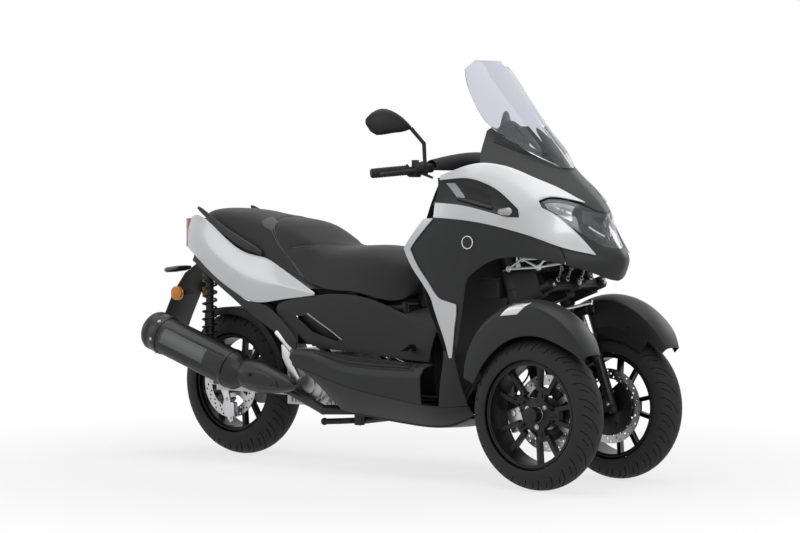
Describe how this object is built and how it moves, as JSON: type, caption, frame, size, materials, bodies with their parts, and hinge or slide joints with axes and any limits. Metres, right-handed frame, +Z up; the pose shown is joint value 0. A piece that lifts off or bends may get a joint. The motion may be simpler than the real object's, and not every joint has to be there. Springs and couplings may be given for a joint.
{
  "type": "leaning three-wheeled scooter",
  "caption": "Reverse three-wheeled scooter: two steered leaning front wheels, one driven rear wheel, tall screen, stepped dual seat and silver-and-grey fairing.",
  "frame": {"origin": "on the ground under the middle of the overall length and width", "axes": "+X forward, +Y to the rider's left, +Z up"},
  "size_m": [2.2499, 0.814, 1.4839],
  "materials": {
    "dark_plastic": "satin dark grey",
    "black_plastic": "grained black",
    "silver_paint": "glossy silver",
    "black_metal": "satin black",
    "steel": "machined",
    "tyre": "matt",
    "casting": "cast",
    "exhaust_metal": "satin heat-proof",
    "shield_metal": "satin grey",
    "rubber": "matt",
    "seat_cover": "grained vinyl",
    "clear_lens": "clear",
    "screen_glass": "clear, faint tint",
    "indicator_lens": "clear over amber",
    "rear_indicator_lens": "smoked",
    "amber": "reflex",
    "red_lens": "clear red"
  },
  "bodies": {
    "chassis": {"frame": "black_metal", "lean_linkage": "black_metal", "engine": "casting", "rear_arm": "steel", "exhaust": "exhaust_metal", "muffler_cover": "shield_metal", "rear_shocks": "black_metal", "radiator": "black_plastic", "fuel_tank": "black_plastic", "storage_tub": "black_plastic", "side_panels": "black_plastic", "tunnel_cover": "black_plastic", "footboards": "dark_plastic", "floor_pan": "dark_plastic", "tail_panels": "silver_paint", "tail_trims": "dark_plastic", "tail_lamp": "red_lens", "grab_rails": "black_plastic", "mudguards": "black_plastic", "rear_indicators": "rear_indicator_lens", "reflectors": "amber", "silver_fairings": "silver_paint", "side_fairings": "dark_plastic", "nose_chin": "dark_plastic", "upper_cowl": "dark_plastic", "front_indicators": "indicator_lens", "headlamp_lens": "clear_lens", "headlamp_housing": "black_plastic", "screen": "screen_glass", "screen_brackets": "black_plastic", "leg_shield": "black_plastic", "dash_hood": "black_plastic", "brake_pedal": "black_plastic"},
    "handlebar": {"handlebar": "black_metal", "grips": "rubber", "brake_levers": "black_metal", "mirrors": "dark_plastic", "bar_cover": "dark_plastic"},
    "fork_right": {"fork_right": "steel", "fender_right": "dark_plastic"},
    "fork_left": {"fork_left": "steel", "fender_left": "dark_plastic"},
    "tie_rod_right": {"tie_rod_right": "steel"},
    "tie_rod_left": {"tie_rod_left": "steel"},
    "wheel_front_right": {"tyre_front_right": "tyre", "rim_front_right": "black_metal", "disc_front_right": "steel"},
    "wheel_front_left": {"tyre_front_left": "tyre", "rim_front_left": "black_metal", "disc_front_left": "steel"},
    "wheel_rear": {"tyre_rear": "tyre", "rim_rear": "black_metal", "disc_rear": "steel"},
    "seat": {"seat": "seat_cover"},
    "fuel_lid": {"fuel_lid": "black_plastic"},
    "center_stand": {"center_stand": "black_metal"}
  },
  "joints": [
    {"name": "steering", "type": "hinge", "parent": "chassis", "child": "handlebar", "pos_m": [0.52827, 0, 0.81118], "axis": [-0.342, 0, 0.9397], "range_deg": [-28, 28]},
    {"name": "steer_right", "type": "hinge", "parent": "chassis", "child": "fork_right", "pos_m": [0.69159, -0.146, 0.65778], "axis": [-0.342, 0, 0.9397], "range_deg": [-28, 28]},
    {"name": "steer_left", "type": "hinge", "parent": "chassis", "child": "fork_left", "pos_m": [0.69159, 0.146, 0.65778], "axis": [-0.342, 0, 0.9397], "range_deg": [-28, 28]},
    {"name": "rod_right", "type": "hinge", "parent": "handlebar", "child": "tie_rod_right", "pos_m": [0.70451, -0.0105, 0.59012], "axis": [-0.342, 0, 0.9397], "range_deg": [-28, 28]},
    {"name": "rod_left", "type": "hinge", "parent": "handlebar", "child": "tie_rod_left", "pos_m": [0.70451, 0.0105, 0.59012], "axis": [-0.342, 0, 0.9397], "range_deg": [-28, 28]},
    {"name": "spin_front_right", "type": "hinge", "parent": "fork_right", "child": "wheel_front_right", "pos_m": [0.863, -0.235, 0.262], "axis": [0, 1, 0], "continuous": true},
    {"name": "spin_front_left", "type": "hinge", "parent": "fork_left", "child": "wheel_front_left", "pos_m": [0.863, 0.235, 0.262], "axis": [0, 1, 0], "continuous": true},
    {"name": "spin_rear", "type": "hinge", "parent": "chassis", "child": "wheel_rear", "pos_m": [-0.732, 0, 0.276], "axis": [0, 1, 0], "continuous": true},
    {"name": "seat_hinge", "type": "hinge", "parent": "chassis", "child": "seat", "pos_m": [0.198, 0, 0.61], "axis": [0, 1, 0], "range_deg": [0, 70]},
    {"name": "fuel_lid_hinge", "type": "hinge", "parent": "chassis", "child": "fuel_lid", "pos_m": [0.32, 0, 0.57091], "axis": [0, 1, 0], "range_deg": [0, 90]},
    {"name": "stand_hinge", "type": "hinge", "parent": "chassis", "child": "center_stand", "pos_m": [-0.042, 0, 0.176], "axis": [0, -1, 0], "range_deg": [0, 78], "stiffness_Nm_per_rad": 2, "springref_deg": -143.24}
  ],
  "couplings": [
    {"joint": "steer_right", "follows": "steering", "ratio": 1},
    {"joint": "steer_left", "follows": "steering", "ratio": 1},
    {"joint": "rod_right", "follows": "steering", "ratio": -1},
    {"joint": "rod_left", "follows": "steering", "ratio": -1}
  ]
}
